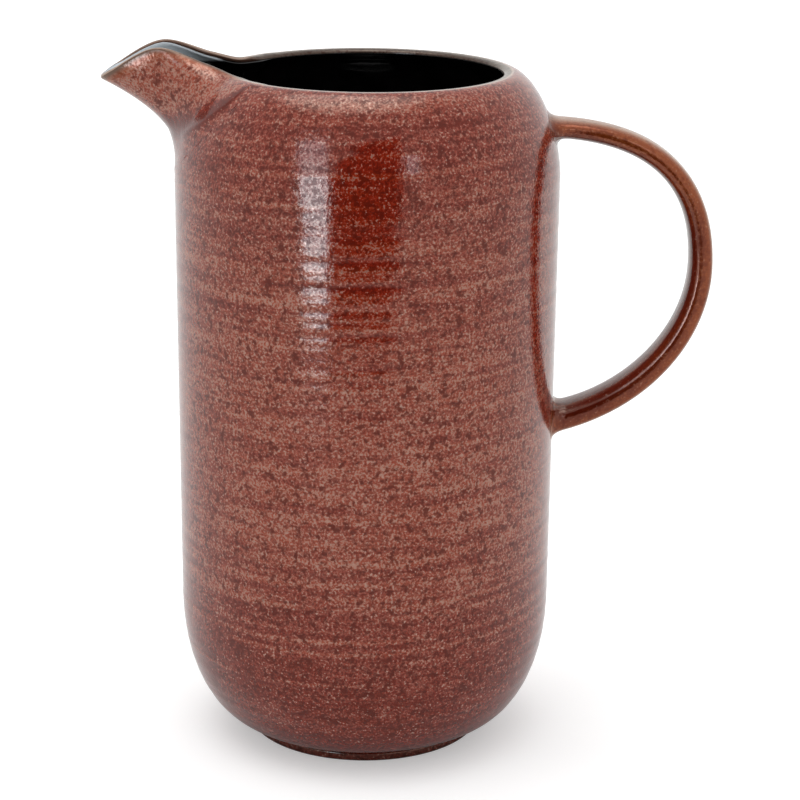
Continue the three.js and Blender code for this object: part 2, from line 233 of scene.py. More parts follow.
# %% [markdown]
# ## White room
# A glossy pot is best seen in a tent of white cloth with a soft lamp above it. Here the world is that
# tent: white all round, and brighter overhead, which gives the pale patch on the front of the shoulder. It
# is a little under strength 1, so that a colour shows about as it is written. Camera rays alone see
# strength 1, which makes the background white and puts no more light on the jug.

# %% White room
ROOM_LIGHT = 0.92
BACKGROUND_LIGHT = 1
SKY_WAY = (-0.12, 0.02, 0.99)
SKY_LIGHT = 3.1
SKY_FROM = 0.84  # cosine of the angle from SKY_WAY where it starts to brighten
SKY_FULL = 0.98  # cosine of the angle where it is brightest

world = bpy.data.worlds.new("white_room")
scene.world = world
world.use_nodes = True
tree = world.node_tree
tree.nodes.clear()
way = add(tree, "TexCoord").outputs["Generated"]
upwards = add(tree, "VectorMath", {"operation": "DOT_PRODUCT"}, i0=way, i1=SKY_WAY).outputs["Value"]
light = add(tree, "MapRange", {"interpolation_type": "SMOOTHSTEP"}, Value=upwards,
            From_Min=SKY_FROM, From_Max=SKY_FULL, To_Min=ROOM_LIGHT, To_Max=SKY_LIGHT)
camera_ray = add(tree, "LightPath").outputs["Is Camera Ray"]
seen = add(tree, "MapRange", Value=camera_ray, To_Min=light, To_Max=BACKGROUND_LIGHT)
room = add(tree, "Background", Color="#ffffff", Strength=seen)
add(tree, "OutputWorld", Surface=room)
print("room light:", ROOM_LIGHT, "and overhead:", SKY_LIGHT)

# %% [markdown]
# ## Floor
# The floor is matt and pale, and keeps the jug's soft shadow. It would render a shade darker than the
# background, so it glows a little, but only to the camera.

# %% Floor
FLOOR_SIZE = 6000
FLOOR_ROUGHNESS = 0.9
FLOOR_GLOW = 0.34


def sheet(name, corners, material):
    """A flat piece of the stage."""
    mesh = bpy.data.meshes.new(name)
    mesh.from_pydata([Vector(corner) * MM for corner in corners], [], [range(len(corners))])
    mesh.materials.append(material)
    piece = bpy.data.objects.new(name, mesh)
    scene.collection.objects.link(piece)
    return piece


floor_paint, tree = new_material("pale_floor")
camera_ray = add(tree, "LightPath").outputs["Is Camera Ray"]
glow = add(tree, "Math", TIMES, i0=camera_ray, i1=FLOOR_GLOW)
shader = add(tree, "BsdfPrincipled", Base_Color="#dedede", Roughness=FLOOR_ROUGHNESS,
             Emission_Color="#ffffff", Emission_Strength=glow)
add(tree, "OutputMaterial", Surface=shader)
half = FLOOR_SIZE / 2
sheet("floor", [(-half, -half, 0), (half, -half, 0), (half, half, 0), (-half, half, 0)], floor_paint)
print("floor of", FLOOR_SIZE / 1000, "m")

# %% [markdown]
# ## What the glaze mirrors
# In front of the photographed jug stood something dark with a bright window on each side of it. They show
# on the front as one upright reflection, which the throwing rings break up. So a dark card and three light
# panels stand in front. The camera looks through them, and they give no diffuse light, so they show only
# where the glaze mirrors them. Their light is a little blue, as daylight is next to a white room.

# %% Card and windows
CARD_AT = -560  # y of the card and the windows, whose corners are (x, z)
DARK_CARD = [(-215, 18), (115, 18), (200, 70), (205, 300), (236, 680), (-10, 580), (-215, 330)]
WINDOWS = [  # name, light, corners
    ("window", 8, [(-390, 18), (-217, 18), (-217, 335), (-440, 335)]),
    ("window_top", 3.2, [(-440, 340), (-217, 340), (-280, 660), (-580, 710)]),
    ("far_window", 2.9, [(245, 335), (330, 335), (330, 465), (245, 465)]),
]


def mirrored_only(name, outline, material):
    """An upright sheet that shows only in reflections."""
    piece = sheet(name, [(x, CARD_AT, z) for x, z in outline], material)
    piece.visible_camera = False
    piece.visible_diffuse = False


dark_cloth, tree = new_material("dark_cloth")
shader = add(tree, "BsdfPrincipled", Base_Color="#0a0605", Roughness=1)
add(tree, "OutputMaterial", Surface=shader)
mirrored_only("dark_card", DARK_CARD, dark_cloth)
for name, strength, outline in WINDOWS:
    daylight, tree = new_material(name)
    shader = add(tree, "Emission", Color="#d6eaff", Strength=strength)
    add(tree, "OutputMaterial", Surface=shader)
    mirrored_only(name, outline, daylight)
print("a dark card and", len(WINDOWS), "windows stand", -CARD_AT, "mm in front of the jug's axis")

# %% [markdown]
# ## Red glaze
# A reactive iron-red glaze is deep red glass. Two things make it look paler and browner from most sides:
# the white room mirrored in its skin, and fine pale grains painted into its colour, which are mostly a
# painted reflection of that room, broken up as a pebbled skin would break it. Where the skin mirrors
# something dark, only the red glass is left. Pores and iron spots are dull pits in the skin, so they lose
# most of the mirrored white and show as dark specks.
#
# It lies thick in the hollows between the throwing rings and thin over their ridges, with fine streaks
# where the fingers went. The depth of the glaze is the number that the piece carries, which also holds
# painted shade near the base and along the beak's crease, plus long thin noise for the streaks, which lie
# level round the body and along the handle.

# %% Depth of the red glaze
STREAK_LENGTH = 35
STREAK_WIDTH = 1.5
STREAK_STRENGTH = 1.5  # in the units of depth


def scale_for(size):
    """The scale of a texture whose features are this many millimetres across."""
    return 1 / (size * MM)


def carried(tree, name):
    """A number that the points of a piece carry."""
    return add(tree, "Attribute", {"attribute_name": name}).outputs["Fac"]


def glaze_depth(tree, where, across):
    """How deep the glaze lies, painted shade included; across is the axis of x, y and z across its streaks.
    """
    scales = [scale_for(STREAK_WIDTH if axis == across else STREAK_LENGTH) for axis in "xyz"]
    run = add(tree, "Mapping", Vector=where, Scale=scales)
    streak = add(tree, "TexNoise", Vector=run, Scale=1, Detail=3)
    return add(tree, "Math", TIMES_PLUS, i0=streak, i1=STREAK_STRENGTH, i2=carried(tree, "pool_and_shade"))


# %% [markdown]
# Grains crowd where the glaze is thin and stay away from spots. One number says how grainy a place is:
# noise of the grain's size, less where the glaze is deep or a spot lies, and more in soft clouds. High
# values are pale grains, which are painted reflection, and low ones are pores. In the photograph the
# finest grain is as small as a pixel, too fine to render, so it is drawn coarser here.

# %% Grain of the red glaze
GRAIN = 0.8
GRAIN_ROUGHNESS = 0.6
SPOT = 2
CLOUDING = 9
SPOTS = (0.57, 0.68)  # values of the noise where a spot starts and is full
SPOT_STRENGTH = 0.9
SPOT_CLEARS = 0.2
DEPTH_CLEARS = 0.2
CLOUDS_ADD = 0.2
GRAIN_LEVEL = 0.44
NOISE_MIDDLE = 0.5


def grain_and_spots(tree, where, depth, speckle):
    """The noise of the grain, how grainy a place is, the noise of the spots and how strong they are."""
    grain = add(tree, "TexNoise", Vector=where, Scale=scale_for(GRAIN), Detail=2, Roughness=GRAIN_ROUGHNESS)
    cloud = add(tree, "TexNoise", Vector=where, Scale=scale_for(CLOUDING), Detail=2)
    spot = add(tree, "TexNoise", Vector=where, Scale=scale_for(SPOT), Detail=2)
    spots = add(tree, "MapRange", Value=spot, From_Min=SPOTS[0], From_Max=SPOTS[1],
                To_Max=SPOT_STRENGTH * speckle)
    # Taking away the middle of the grain's noise keeps the level the same for any speckle.
    middle = add(tree, "Math", TIMES_PLUS, i0=cloud, i1=CLOUDS_ADD, i2=GRAIN_LEVEL - NOISE_MIDDLE * speckle)
    middle = add(tree, "Math", TIMES_PLUS, i0=depth, i1=-DEPTH_CLEARS, i2=middle)
    cleared = add(tree, "Math", TIMES_PLUS, i0=spots, i1=-SPOT_CLEARS, i2=grain)
    level = add(tree, "Math", TIMES_PLUS, i0=cleared, i1=speckle, i2=middle)
    return grain, level, spot, spots


# %% [markdown]
# The colour is painted in layers, each where one of these numbers passes from one value to another: red
# glass, darker mottling, pale grains of painted reflection, painted glints on the largest of them, and pale
# painted sparkles. Along the lip and the rim the glaze drew back and shows orange, then grey-brown, and a
# worn pale line.

# %% Colours of the red glaze
SPARKLE = 0.8
SPARKLE_COLOUR = "#b08c80"
DEEP = (0.95, 1.55)  # here and below: where a paint starts and where it is full
MOTTLE = (0.44, 0.62)
SHEEN_GRAINS = (0.3, 0.42)
GLINTS = (0.41, 0.52)
SPARKLES = (0.66, 0.78)
MOTTLING = 0.35  # here and below: the most that a paint covers
GLINTING = 0.6
SPARKLING = 0.6
EDGE_PAINTS = [  # number, start, end, the most that it covers, paint
    ("edge", 0, 0.4, 0.6, "#8a421e"),
    ("edge", 0.4, 0.7, 1, "#5e4236"),
    ("edge", 0.75, 1, 1, "#38221a"),
    ("worn", 0.2, 0.8, 1, "#a48c7e"),
]


def painted(tree, under, paint, value, start, end, most=1):
    """One colour painted over another as a value goes from start to end, and how far it covers."""
    cover = add(tree, "MapRange", Value=value, From_Min=start, From_Max=end, To_Max=most)
    return add(tree, "Mix", COLOUR_MIX, Factor=cover, i6=under, i7=paint), cover


def glaze_colours(tree, where, paints, depth, level, spot, speckle):
    """The glaze's colour, and where its glints are."""
    colour, _ = painted(tree, paints["ridge"], paints["hollow"], depth, *DEEP)
    colour, _ = painted(tree, colour, paints["iron"], spot, *MOTTLE, MOTTLING * speckle)
    # The pale grains are mostly painted reflection of the white room, broken up as a pebbled skin would.
    colour, _ = painted(tree, colour, paints["grain"], level, *SHEEN_GRAINS)
    colour, glints = painted(tree, colour, paints["glint"], level, *GLINTS, GLINTING)
    # The sparkles are painted glints: small pale specks of painted highlight.
    sparkle = add(tree, "TexNoise", Vector=where, Scale=scale_for(SPARKLE), Detail=1)
    colour, _ = painted(tree, colour, SPARKLE_COLOUR, sparkle, *SPARKLES, SPARKLING * speckle)
    return colour, glints


# %% [markdown]
# The skin is glossy and slightly pebbled, with the high index of an iron glaze. Its mirror image is warm.
# Specular Tint takes most of it away from the pits, where the iron also darkens the glass. A thin clear
# coat over it has no pebbles, so windows keep sharp edges in it.

# %% Skin of the red glaze
PEBBLE = 1.6
PEBBLE_DEPTH = 0.07
GRAIN_BUMP = 0.2  # height of the grain as a share of the pebbles'
RED_GLAZE_IOR = 1.7
RED_GLAZE_ROUGHNESS = 0.11
COAT = 0.2
COAT_IOR = 1.5
COAT_ROUGHNESS = 0.06
SHINE = "#fff4de"
DULL_SHINE = "#4a2418"
PORES = (0.3, 0.12)  # the levels where a pore starts and is full
PIT_DULLNESS = 0.74
PIT_DARKNESS = 0.62
EDGE_FULL = 0.4  # the edge number where the lip's own lustre is reached
EDGE_LUSTRE = 0.3
LUSTRE_FADES = (0.45, 0.8)  # the depths where lustre starts to fade and is gone


def red_glaze(name, paints, across="z", speckle=1, lustre=0):
    """The red glaze. Its streaks are thin across one axis, speckle is how strongly the grain shows, and
    lustre is how metallic the skin is where the glaze is thin."""
    material, tree = new_material(name)
    where = add(tree, "TexCoord").outputs["Object"]
    depth = glaze_depth(tree, where, across)
    grain, level, spot, spots = grain_and_spots(tree, where, depth, speckle)
    colour, glints = glaze_colours(tree, where, paints, depth, level, spot, speckle)

    pores = add(tree, "MapRange", Value=level, From_Min=PORES[0], From_Max=PORES[1])
    pits = add(tree, "Math", LARGER, i0=pores, i1=spots)
    shine, _ = painted(tree, SHINE, DULL_SHINE, pits, 0, 1, PIT_DULLNESS)
    colour, _ = painted(tree, colour, paints["iron"], pits, 0, 1, PIT_DARKNESS)
    for number, start, end, most, paint in EDGE_PAINTS:
        colour, _ = painted(tree, colour, paint, carried(tree, number), start, end, most)
    metal = add(tree, "MapRange", Value=carried(tree, "pool_and_shade"), From_Min=LUSTRE_FADES[0],
                From_Max=LUSTRE_FADES[1], To_Min=lustre, To_Max=0)
    metal = add(tree, "Math", LARGER, i0=metal, i1=glints)
    metal = add(tree, "MapRange", Value=carried(tree, "edge"), From_Max=EDGE_FULL,
                To_Min=metal, To_Max=EDGE_LUSTRE)

    pebble = add(tree, "TexNoise", Vector=where, Scale=scale_for(PEBBLE), Detail=3)
    height = add(tree, "Math", TIMES_PLUS, i0=grain, i1=GRAIN_BUMP, i2=pebble)
    bump = add(tree, "Bump", Height=height, Strength=1, Distance=PEBBLE_DEPTH * MM)
    shader = add(tree, "BsdfPrincipled", Base_Color=colour, Metallic=metal, IOR=RED_GLAZE_IOR,
                 Specular_Tint=shine, Roughness=RED_GLAZE_ROUGHNESS, Normal=bump,
                 Coat_Weight=COAT, Coat_IOR=COAT_IOR, Coat_Roughness=COAT_ROUGHNESS)
    add(tree, "OutputMaterial", Surface=shader)
    return material


BODY_PAINTS = dict(ridge="#8c2a0c", hollow="#801d0a", iron="#40100a", grain="#92594a", glint="#b68878")
body_glaze = red_glaze("red_glaze", BODY_PAINTS)
print("red glaze: grains of", GRAIN, "mm, spots of", SPOT, "mm,", len(body_glaze.node_tree.nodes), "nodes")

# %% [markdown]
# ## Body
# The body is one profile turned on the wheel: rounded base, nearly straight wall, rounded shoulder and a
# thin rim. The inside follows the outside at the thickness of the wall, as it does on a thrown pot.

# %% Body profile
RIM_HEIGHT = 224.4
RIM_RADIUS = 46.5
RIM_THICKNESS = 3
RIM_ROUNDING = 1.3
SHOULDER_HEIGHT = 191
SHOULDER_RADIUS = 62.6
SHOULDER_POWER = 1.7
BELLY_HEIGHT = 48.5
BELLY_RADIUS = 61.9
BASE_POWER = 2.1
FOOT_HEIGHT = 4
FOOT_RADIUS = 39.3
FOOT_GROOVE = 1.5
WALL = 4.8
BASE_THICKNESS = 7
CURVE_POINTS = 200

seat = FOOT_RADIUS - FOOT_GROOVE
outside = np.concatenate([
    quarter_curve(BELLY_RADIUS, BELLY_HEIGHT, seat, FOOT_HEIGHT, BASE_POWER, CURVE_POINTS)[::-1],
    quarter_curve(SHOULDER_RADIUS, SHOULDER_HEIGHT, RIM_RADIUS, RIM_HEIGHT, SHOULDER_POWER, CURVE_POINTS),
])
inside = np.concatenate([
    quarter_curve(SHOULDER_RADIUS - WALL, SHOULDER_HEIGHT, RIM_RADIUS - RIM_THICKNESS,
                  RIM_HEIGHT - RIM_ROUNDING, SHOULDER_POWER, CURVE_POINTS)[::-1],
    quarter_curve(BELLY_RADIUS - WALL, BELLY_HEIGHT, seat - WALL, FOOT_HEIGHT + BASE_THICKNESS,
                  BASE_POWER, CURVE_POINTS),
])
out_length = lengths_along(outside)
in_length = lengths_along(inside)


def wall_radius(height):
    """Radius of the body's outside at a height, before the throwing rings."""
    return np.interp(height, outside[:, 1], outside[:, 0])


def inner_length_at(drop):
    """Length along the inside, from its top, of the place this far below the rim."""
    return np.interp(drop, RIM_HEIGHT - inside[:CURVE_POINTS, 1], in_length[:CURVE_POINTS])


def inner_radius_at(height):
    """Radius of the body's inside at a height in its shoulder."""
    return np.interp(height, inside[:CURVE_POINTS, 1][::-1], inside[:CURVE_POINTS, 0][::-1])


def round_axis(turn, radius, height):
    """Points at an angle round the axis, a radius from it and a height."""
    turn, radius, height = np.broadcast_arrays(turn, radius, height)
    return np.stack([radius * np.cos(turn), radius * np.sin(turn), height], axis=-1)


print("outside profile length in mm:", round(out_length[-1], 1))

# %% [markdown]
# ## Throwing rings
# The fingers left a spiral that climbs 15 mm a turn, with finer ridges between its turns. So the relief is
# a sum of spirals, of 1 to 5 ridges a turn, that all close up after one turn. Slow waves make each of them
# wander, swell and fade, because no hand is steady. They are smoothed out at the rim and at the base, and
# weaker over the middle of the wall, where the photograph shows them least.

# %% Throwing rings
CLIMB = 15
RING_DEPTHS = (0.012, 0.04, 0.032, 0.022, 0.014)
OUT_OF_STEP = (1.7, 2.3, 4.1)  # keeps the slow waves of the spirals apart
TURN_WANDER = 0.8
HEIGHT_WANDER = 1.9
WANDER_LENGTH = 31
SWELL_LENGTH = 9
SWELL_LENGTHENS = 2
SWELL_MIDDLE = 0.55
SWELL_RANGE = 0.45
RIM_CALM = 12  # the rings fade over this much below the rim
BASE_CALM = 8  # and over this much above the foot
MIDDLE = 112  # the height round which they are weaker
MIDDLE_REACH = 40
MIDDLE_CALM = 0.5


def throwing_rings(turn, height):
    """How far the spirals stand out of the wall at an angle round the axis and a height."""
    relief = np.zeros(np.broadcast(turn, height).shape)
    for count, depth in enumerate(RING_DEPTHS, start=1):
        wander_step, drift_step, swell_step = (count * step for step in OUT_OF_STEP)
        phase = 2 * math.pi * count * height / CLIMB - count * turn
        phase = phase + TURN_WANDER * np.sin(turn + wander_step)
        phase = phase + HEIGHT_WANDER * np.sin(height / WANDER_LENGTH + drift_step)
        swell_length = SWELL_LENGTH + SWELL_LENGTHENS * count
        swell = np.sin(height / swell_length + np.cos(turn - count) + swell_step)
        relief += depth * (SWELL_MIDDLE + SWELL_RANGE * swell) * np.sin(phase)
    rim_calm = np.clip((RIM_HEIGHT - height) / RIM_CALM, 0, 1)
    base_calm = np.clip((height - FOOT_HEIGHT) / BASE_CALM, 0, 1)
    smoothed = 1 - MIDDLE_CALM * np.exp(-((height - MIDDLE) / MIDDLE_REACH) ** 2)
    return relief * rim_calm * base_calm * smoothed


def on_wall(turn, height):
    """A point of the body's outside, on its throwing rings."""
    return round_axis(turn, wall_radius(height) + throwing_rings(turn, height), height)


# %% [markdown]
# ## Where the spout meets the body
# The potter cut a notch in the shoulder and luted the beak over it. The seam lies in a plane that leans at
# 45 degrees, from the shoulder below the beak up to the rim at both sides.

# %% Seam
SEAM_TILT = math.radians(45)
SEAM_DROP = 26.4
SEAM_ROOT_DROP = 1
SEAM_STEPS = 60
BEAK_STATIONS = 161

apex = RIM_HEIGHT - SEAM_DROP
seam_height = apex + (SEAM_DROP - SEAM_ROOT_DROP) * np.linspace(1, 0, SEAM_STEPS) ** 2
seam_reach = wall_radius(apex) - (seam_height - apex) / math.tan(SEAM_TILT)
seam_width = np.sqrt(np.clip(wall_radius(seam_height) ** 2 - seam_reach ** 2, 0, None))
seam_side = np.stack([-seam_reach, -seam_width, seam_height], axis=-1)
notch_angle = np.abs(np.arctan2(seam_side[:, 1], -seam_side[:, 0]))


def mirrored(side):
    """A line of one side of the spout, carried on along its mirror image."""
    return np.concatenate([side, side[-2::-1] * (1, -1, 1)])


station = np.linspace(0, 1, BEAK_STATIONS)
seam_line = mirrored(seam_side)
seam = at_length(seam_line, station * lengths_along(seam_line)[-1])
print("the notch spans", round(2 * math.degrees(notch_angle[0])), "degrees of the rim")

# %% [markdown]
# The lip is a smooth line that leaves the rim, narrows at the throat, crests and drops to the blunt tip.
# Each point has a reach from the axis, a half width and a rise over the rim.

# %% Lip
LIP_ROOT_RISE = 0.1
LEAVE = (43.5, 17.8, 0.8)
THROAT = (51, 13.5, 3.1)
CREST = (67, 10.25, 6.9)
NOSE = (82, 6.5, -1.3)
TIP_REACH = 85.6
TIP_RISE = -4

root_turn = math.atan2(seam_side[0, 1], seam_side[0, 0])
leave_turn = math.atan2(-LEAVE[1], -LEAVE[0])
on_rim = np.array([root_turn, (root_turn + leave_turn) / 2])
lip_side = list(round_axis(on_rim, RIM_RADIUS, RIM_HEIGHT + LIP_ROOT_RISE))
for reach, half_width, rise in (LEAVE, THROAT, CREST, NOSE, (TIP_REACH, 0, TIP_RISE)):
    lip_side.append((-reach, -half_width, RIM_HEIGHT + rise))
lip_line = smooth_line(mirrored(np.array(lip_side)))
lip = at_length(lip_line, station * lengths_along(lip_line)[-1])
print("lip length in mm:", round(lengths_along(lip)[-1], 1))

# %% [markdown]
# ## Body mesh
# Each column of the grid runs up the outside, over the rounded rim and down the inside. Under the spout
# the columns stop at the seam instead of at the rim, and that cuts the notch.

# %% Body mesh
TURNS = 320
OUTSIDE_ROWS = 330
RIM_ROWS = 14
INSIDE_ROWS = 60
NOTCH_RUN_OUT = math.radians(3)

turn = np.linspace(-math.pi, math.pi, TURNS, endpoint=False)
from_beak = math.pi - np.abs(turn)
cut_length = np.interp(seam_side[::-1, 2], outside[:, 1], out_length)
cut_angle = np.concatenate([notch_angle[::-1], notch_angle[:1] + NOTCH_RUN_OUT])
top_length = np.interp(from_beak, cut_angle, np.concatenate([cut_length, out_length[-1:]]))

rows = np.linspace(0, 1, OUTSIDE_ROWS)[:, None] * top_length
outer_radius = np.interp(rows, out_length, outside[:, 0])
outer_height = np.interp(rows, out_length, outside[:, 1])
outer = round_axis(turn, outer_radius + throwing_rings(turn, outer_height), outer_height)

inner_start = inner_length_at(RIM_HEIGHT - outer_height[-1])
inner_rows = inner_start + np.linspace(0, 1, INSIDE_ROWS)[:, None] * (in_length[-1] - inner_start)
inner_radius = np.interp(inner_rows, in_length, inside[:, 0])
inner = round_axis(turn, inner_radius, np.interp(inner_rows, in_length, inside[:, 1]))
rim_corner = round_axis(turn, inner_radius[0], outer_height[-1])
over_rim = np.linspace(0, 1, RIM_ROWS)[1:-1, None]
rim_round = bent(outer[-1], rim_corner, inner[0], over_rim[..., None])
body = skin("thrown_body", np.concatenate([outer, rim_round, inner]), cap_rows=True)

# %% [markdown]
# The red glaze gathers in the hollows of the rings, most near the base, and it is thin just below the
# rim. Towards the base it is also painted deeper and darker: painted shade, where the base mirrors the
# floor in the jug's shadow. It is a little deeper towards the top as well. The rim itself is bare of red,
# with a worn line along its outer edge.

# %% Glaze on the body
POOL = 0.45
RING_POOL = 5
LOW_RING_POOL = 4
LOW_RINGS = (85, 60)  # the heights where more pooling starts and is full
LEAST_POOL_HEIGHT = 95
LOW_SHADE_LENGTH = 80
LOW_SHADE_POOL = 1.1
UPPER_LENGTH = 100
UPPER_POOL = 0.25
RIM_THINNING = 0.3
THIN_DROP = 12
THINNEST_DROP = 2
INSIDE_POOL = 0.5
RIM_PAINT = 1
WORN_FROM = 0.77  # distance below the top of the outside
WORN_FULL = 0.33
WORN_OVER = 0.15  # share of the way over the rim


def pool_and_shade_at(turn, height):
    """How deep the glaze lies on the wall, with painted shade towards the base."""
    # Painted shade: deeper, darker glaze towards the base, where it mirrors the shaded floor.
    low_shade = LOW_SHADE_POOL * (np.clip(LEAST_POOL_HEIGHT - height, 0, None) / LOW_SHADE_LENGTH) ** 2
    above = UPPER_POOL * (np.clip(height - LEAST_POOL_HEIGHT, 0, None) / UPPER_LENGTH) ** 2
    ring_pool = RING_POOL + LOW_RING_POOL * eased(height, *LOW_RINGS)
    thinned = RIM_THINNING * eased(height, RIM_HEIGHT - THIN_DROP, RIM_HEIGHT - THINNEST_DROP)
    return np.clip(POOL - throwing_rings(turn, height) * ring_pool + low_shade + above - thinned, 0, 1)


rim_end = OUTSIDE_ROWS + RIM_ROWS - 2
pool_and_shade = np.full((rim_end + INSIDE_ROWS, TURNS), INSIDE_POOL)
pool_and_shade[:OUTSIDE_ROWS] = pool_and_shade_at(turn, outer_height)
edge = np.full(pool_and_shade.shape, RIM_PAINT)
edge[:OUTSIDE_ROWS] = 0
worn = np.zeros(pool_and_shade.shape)
worn[:OUTSIDE_ROWS] = eased(out_length[-1] - rows, WORN_FROM, WORN_FULL)
worn[OUTSIDE_ROWS:rim_end] = 1 - eased(over_rim, 0, WORN_OVER)
for name, values in (("pool_and_shade", pool_and_shade), ("edge", edge), ("worn", worn)):
    record_on(body, name, values)
place(body, "body", body_glaze)

# %% [markdown]
# ## Foot ring
# The low foot was turned from the thick base once it had dried a little, with a groove where it meets the
# base. Its glaze is a darker, browner red than the wall.

# %% Foot ring
FOOT_WIDTH = 6
FOOT_EDGE = 0.8
FOOT_POOL = 0.6
FOOT_PAINTS = dict(ridge="#6a2216", hollow="#54180e", iron="#34120a", grain="#6a3024", glint="#7a6458")

foot_inside = FOOT_RADIUS - FOOT_WIDTH
foot_line = smooth_line([
    (foot_inside, FOOT_HEIGHT), (foot_inside, FOOT_EDGE), (foot_inside + FOOT_EDGE, 0),
    (FOOT_RADIUS - FOOT_EDGE, 0), (FOOT_RADIUS, FOOT_EDGE), (FOOT_RADIUS, FOOT_HEIGHT - FOOT_GROOVE),
    (FOOT_RADIUS - FOOT_GROOVE, FOOT_HEIGHT),
], steps=10).clip((foot_inside, 0), (FOOT_RADIUS, FOOT_HEIGHT))
foot = skin("turned_foot", round_axis(turn, foot_line[:, :1], foot_line[:, 1:]), close_rows=True)
record_on(foot, "pool_and_shade", np.full(len(foot.data.vertices), FOOT_POOL))
place(foot, "foot_ring", red_glaze("foot_glaze", FOOT_PAINTS))

# %% [markdown]
# ## Beak spout
# The beak was shaped from its own piece of clay and luted on with a soft fillet. The fillet's lower edge
# has to lie on the body's rings, so that the glaze runs over the seam without a step. For that, a function
# finds the nearest place on the wall.

# %% Height over the wall
WALL_SAMPLES = 3000

fine_wall = at_length(outside, np.linspace(0, out_length[-1], WALL_SAMPLES))
along_wall = unit(np.gradient(fine_wall, axis=0))


def over_wall(points):
    """For points near the body: the nearest place of its wall, the way out of it and the height over it."""
    turn = np.arctan2(points[..., 1], points[..., 0])
    profile = np.stack([np.hypot(points[..., 0], points[..., 1]), points[..., 2]], axis=-1)
    nearest = np.array([np.argmin(np.sum((fine_wall - p) ** 2, axis=1)) for p in profile.reshape(-1, 2)])
    nearest = nearest.reshape(turn.shape)
    below = fine_wall[nearest]
    out = np.stack([along_wall[nearest][..., 1], -along_wall[nearest][..., 0]], axis=-1)
    height = np.sum((profile - below) * out, axis=-1)
    way = np.stack([out[..., 0] * np.cos(turn), out[..., 0] * np.sin(turn), out[..., 1]], axis=-1)
    rings = throwing_rings(turn, below[..., 1])
    return round_axis(turn, below[..., 0] + rings, below[..., 1]), way, height


# %% [markdown]
# At each station along the seam, the flank is a bend from the seam to the lip: hollow under the keel,
# where the bend is pulled inwards, and slightly full at the sides. Near its roots it would dip into the
# shoulder, so it is lifted softly to stay just above the wall.

# %% Beak flank
KEEL_FLARE = 10.5
FLANK_BULGE = 5.6
BULGE_SCALE = 27 / 4  # makes the greatest swelling 1
SEAM_STEP = 1.1
ROOT_STEP = 0.25
LIP_STEP = 0.1
STEP_SOFTNESS = 0.12
STEP_EASES_FROM = 0.55  # share of the way to the root
FLANK_ROWS = 28

toward_root = np.abs(2 * station - 1)[:, None]
outwards = unit(np.stack([seam[:, 0], seam[:, 1], np.hypot(seam[:, 0], seam[:, 1])], axis=-1))
swelling = BULGE_SCALE * toward_root ** 2 * (1 - toward_root)
bend = (seam + lip) / 2 + outwards * FLANK_BULGE * swelling
bend[:, 0] += KEEL_FLARE * (1 - toward_root[:, 0] ** 2)
up_flank = np.linspace(0, 1, FLANK_ROWS)[:, None, None]
flank = bent(seam, bend, lip, up_flank)

_, way, height_over = over_wall(flank)
seam_step = SEAM_STEP + (ROOT_STEP - SEAM_STEP) * eased(toward_root[:, 0], STEP_EASES_FROM, 1)
missing = seam_step + (LIP_STEP - seam_step) * up_flank[..., 0] - height_over
lift = (missing + np.sqrt(missing ** 2 + STEP_SOFTNESS ** 2)) / 2
flank = flank + way * lift[..., None]
print("the flank is lifted by up to", round(lift.max(), 2), "mm")

# %% [markdown]
# The luted fillet starts on the wall a few millimetres outside the seam, wide under the keel and narrow at
# the roots, and bends up into the flank.

# %% Beak fillet
FILLET_ROWS = 14
KEEL_FILLET = 7
ROOT_FILLET = 1.7
FILLET_NARROWS = 1.6
FILLET_MOST = 0.4  # of the flank's length

seam_corner, way, _ = over_wall(seam)
away = np.cross(unit(np.gradient(seam_corner, axis=0)), way)
away *= np.sign(np.sum(away * (seam_corner - lip), axis=1))[:, None]
fillet_width = ROOT_FILLET + (KEEL_FILLET - ROOT_FILLET) * (1 - toward_root) ** FILLET_NARROWS
skirt = over_wall(seam_corner + unit(away) * fillet_width)[0]

columns = []
up_fillet = np.linspace(0, 1, FILLET_ROWS)[:, None]
for k in range(BEAK_STATIONS):
    line = flank[:, k]
    total = lengths_along(line)[-1]
    rest = at_length(line, np.linspace(min(fillet_width[k, 0], total * FILLET_MOST), total, FLANK_ROWS))
    columns.append(np.concatenate([bent(skirt[k], seam_corner[k], rest[0], up_fillet), rest[1:]]))
beak_face = np.stack(columns, axis=1)
print("beak face:", beak_face.shape[0], "rows by", beak_face.shape[1], "stations")

# %% [markdown]
# The beak's wall gets thinner towards the lip, and half a circle rounds the lip. Towards the roots, wall
# and lip take the shape of the body's rim, so that the two run into each other.

# %% Beak inside and lip
SPOUT_WALL = 3.4
LIP_THICKNESS = 1.8
LIP_ROWS = 11
WALL_DEPTH = 13
BEAK_ENDS = 22  # degrees from the middle of the beak
RIM_STARTS = 36

inwards = unit(np.cross(np.gradient(flank, axis=1), np.gradient(flank, axis=0)))
spout_wall = np.linspace(SPOUT_WALL, LIP_THICKNESS, FLANK_ROWS)[:, None, None]
lip_turn = np.arctan2(lip[:, 1], lip[:, 0])
from_middle = np.degrees(math.pi - np.abs(lip_turn))[:, None]
like_rim = eased(from_middle, BEAK_ENDS, RIM_STARTS)
wall_height = np.linspace(RIM_HEIGHT - WALL_DEPTH, RIM_HEIGHT - RIM_ROUNDING, FLANK_ROWS)[:, None]
wall_inside = round_axis(lip_turn, inner_radius_at(wall_height), wall_height)
beak_back = (flank + inwards * spout_wall) * (1 - like_rim) + wall_inside * like_rim

